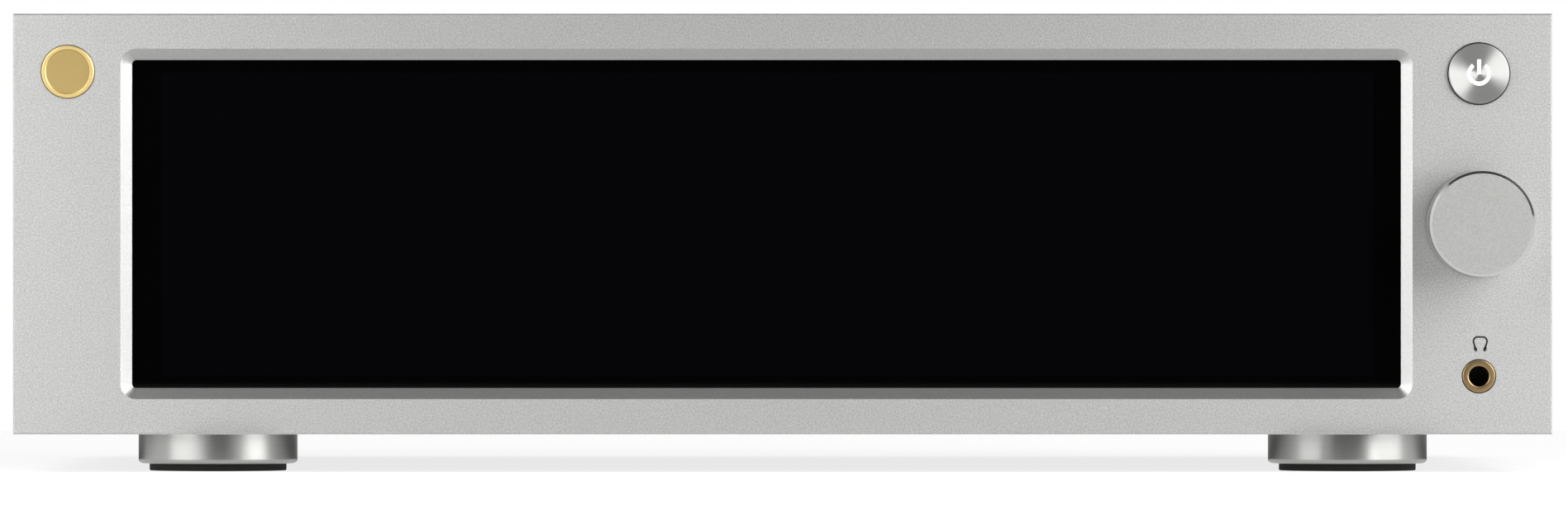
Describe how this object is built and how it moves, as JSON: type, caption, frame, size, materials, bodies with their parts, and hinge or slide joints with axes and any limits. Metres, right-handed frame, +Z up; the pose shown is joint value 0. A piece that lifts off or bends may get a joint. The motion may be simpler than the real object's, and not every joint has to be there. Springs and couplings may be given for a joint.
{
  "type": "network music streamer",
  "caption": "Low silver aluminium audio case with a wide dark bar display, lit power button, volume knob and headphone socket in front, round feet and sockets behind.",
  "frame": {"origin": "on the floor under the middle of the whole part's box", "axes": "+X to the right seen from the front, +Y to the back, +Z up"},
  "size_m": [0.278, 0.224, 0.0829],
  "materials": {
    "blasted_aluminium": "bead-blasted, anodised silver, fine matt grain",
    "case_aluminium": "fine blasted, anodised silver",
    "turned_aluminium": "turned and anodised, satin",
    "display_glass": "gloss black cover glass over a dark display",
    "gold_plate": "gold plated, satin",
    "lit_symbol": "milky light guide, lit white",
    "pad_rubber": "matt dark rubber",
    "steel": "nickel plated, satin",
    "black_plastic": "moulded, satin",
    "white_plastic": "moulded, smooth",
    "circuit_board": "solder-mask lacquer",
    "heatsink_aluminium": "extruded, anodised black",
    "ferrite": "matt",
    "capacitor_sleeve": "shrunk sleeve",
    "cable": "flexible insulation",
    "fuse_glass": "clear tube"
  },
  "bodies": {
    "cabinet": {"front_panel": "blasted_aluminium", "left_side_panel": "case_aluminium", "right_side_panel": "case_aluminium", "top_cover": "case_aluminium", "bottom_plate": "case_aluminium", "rear_panel": "case_aluminium", "panel_brackets": "case_aluminium", "front_left_foot": "turned_aluminium", "front_right_foot": "turned_aluminium", "rear_left_foot": "turned_aluminium", "rear_right_foot": "turned_aluminium", "display_glass": "display_glass", "badge": "gold_plate", "jack_collar": "gold_plate", "phono_shells": "gold_plate", "foot_pads": "pad_rubber", "display_bracket": "steel", "display_screws": "steel", "encoder_body": "steel", "standoffs": "steel", "inner_screws": "steel", "cover_screws": "steel", "base_screws": "steel", "rear_screws": "steel", "foot_screws": "steel", "shield_plate": "steel", "mains_blades": "steel", "usb_port": "steel", "hdmi_ports": "steel", "network_port": "steel", "lcd_module": "black_plastic", "power_switch": "black_plastic", "headphone_jack": "black_plastic", "board_chips": "black_plastic", "mains_inlet": "black_plastic", "switch_housing": "black_plastic", "optical_ports": "black_plastic", "port_tongues": "black_plastic", "trigger_sockets": "black_plastic", "phono_insulators": "white_plastic", "control_board": "circuit_board", "main_board": "circuit_board", "audio_board": "circuit_board", "supply_board": "circuit_board", "heatsink": "heatsink_aluminium", "supply_transformer": "ferrite", "supply_capacitors": "capacitor_sleeve", "ribbon_cables": "cable", "mains_wires": "cable"},
    "button": {"power_button": "turned_aluminium", "light_guide": "lit_symbol", "switch_plunger": "black_plastic"},
    "knob": {"volume_knob": "turned_aluminium", "encoder_shaft": "steel"},
    "rocker": {"mains_rocker": "black_plastic"},
    "drawer": {"fuse_drawer": "black_plastic", "fuse": "fuse_glass"},
    "flap_in": {"optical_shutter_in": "black_plastic"},
    "flap_out": {"optical_shutter_out": "black_plastic"}
  },
  "joints": [
    {"name": "power_press", "type": "slide", "parent": "cabinet", "child": "button", "axis": [0, 1, 0], "range_m": [0, 0.0008], "stiffness_N_per_m": 1200, "springref_m": -0.0005},
    {"name": "volume_turn", "type": "hinge", "parent": "cabinet", "child": "knob", "pos_m": [0.12575, -0.105, 0.0449], "axis": [0, 1, 0], "continuous": true},
    {"name": "mains_rock", "type": "hinge", "parent": "cabinet", "child": "rocker", "pos_m": [-0.11, 0.1015, 0.0659], "axis": [0, 0, -1], "range_deg": [0, 22]},
    {"name": "fuse_pull", "type": "slide", "parent": "cabinet", "child": "drawer", "axis": [0, 1, 0], "range_m": [0, 0.018]},
    {"name": "optical_in_flap", "type": "hinge", "parent": "cabinet", "child": "flap_in", "pos_m": [0.003, 0.0994, 0.0568], "axis": [-1, 0, 0], "range_deg": [0, 80], "stiffness_Nm_per_rad": 0.0002, "springref_deg": -17.19},
    {"name": "optical_out_flap", "type": "hinge", "parent": "cabinet", "child": "flap_out", "pos_m": [-0.014, 0.0994, 0.0568], "axis": [-1, 0, 0], "range_deg": [0, 80], "stiffness_Nm_per_rad": 0.0002, "springref_deg": -17.19}
  ]
}
